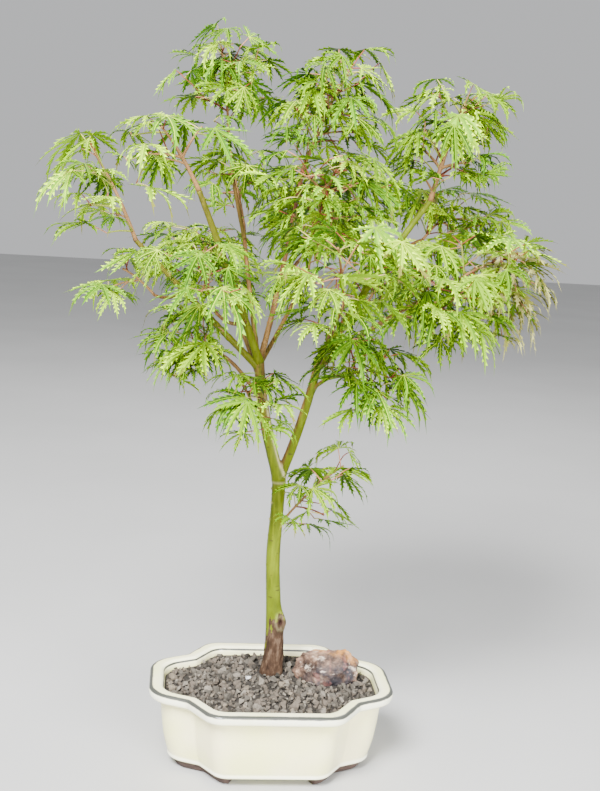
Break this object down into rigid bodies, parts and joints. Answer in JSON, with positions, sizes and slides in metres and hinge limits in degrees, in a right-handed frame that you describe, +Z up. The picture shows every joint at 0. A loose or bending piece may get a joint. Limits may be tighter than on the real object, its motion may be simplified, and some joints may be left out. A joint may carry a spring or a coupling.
{
  "type": "potted japanese maple bonsai",
  "caption": "Young green lace-leaf maple bonsai: a slim forked trunk and airy crown, in a shallow lobed glazed pot with gravel and a stone.",
  "frame": {"origin": "centre of the whole plant's bounding box on the level that the feet stand on", "axes": "+Z up, +X to the plant's right and -Y to its front, the long side of the pot along X"},
  "size_m": [0.4228, 0.3444, 0.6095],
  "materials": {
    "glaze": "glossy opaque cream glaze",
    "clay": "unglazed dark brown fired clay",
    "gravel": "dry grey crushed gravel",
    "stone": "rough brown stone with ochre and pale streaks",
    "bark": "smooth young green bark, brown and rough at the foot",
    "leaf": "fresh yellow-green leaves on reddish stalks"
  },
  "bodies": {
    "root": {"pot": "glaze", "foot_front_left": "clay", "foot_front_right": "clay", "foot_back_left": "clay", "foot_back_right": "clay", "gravel": "gravel", "stone": "stone", "trunk": "bark", "limb_left": "bark", "limb_right": "bark", "bough_left_top": "bark", "bough_left": "bark", "bough_middle": "bark", "bough_upper_left": "bark", "bough_top_left": "bark", "bough_back_left": "bark", "bough_back": "bark", "bough_left_mid": "bark", "bough_front_left": "bark", "bough_centre": "bark", "bough_low_left": "bark", "bough_low_front": "bark", "bough_upper_right": "bark", "bough_right": "bark", "bough_back_right": "bark", "bough_front": "bark", "bough_low_right": "bark", "bough_right_mid": "bark", "bough_right_back": "bark", "foliage_left_tip": "leaf", "foliage_left_mid": "leaf", "foliage_left_top": "leaf", "foliage_front_left": "leaf", "foliage_upper_left": "leaf", "foliage_top_left": "leaf", "foliage_top_middle": "leaf", "foliage_centre": "leaf", "foliage_upper_right": "leaf", "foliage_right_tip": "leaf", "foliage_right_mid": "leaf", "foliage_right_back": "leaf", "foliage_front": "leaf", "foliage_low_right": "leaf", "foliage_low_left": "leaf", "foliage_low_front": "leaf", "foliage_back": "leaf", "foliage_back_left": "leaf", "foliage_back_right": "leaf", "foliage_low_sprig": "leaf"}
  },
  "joints": []
}
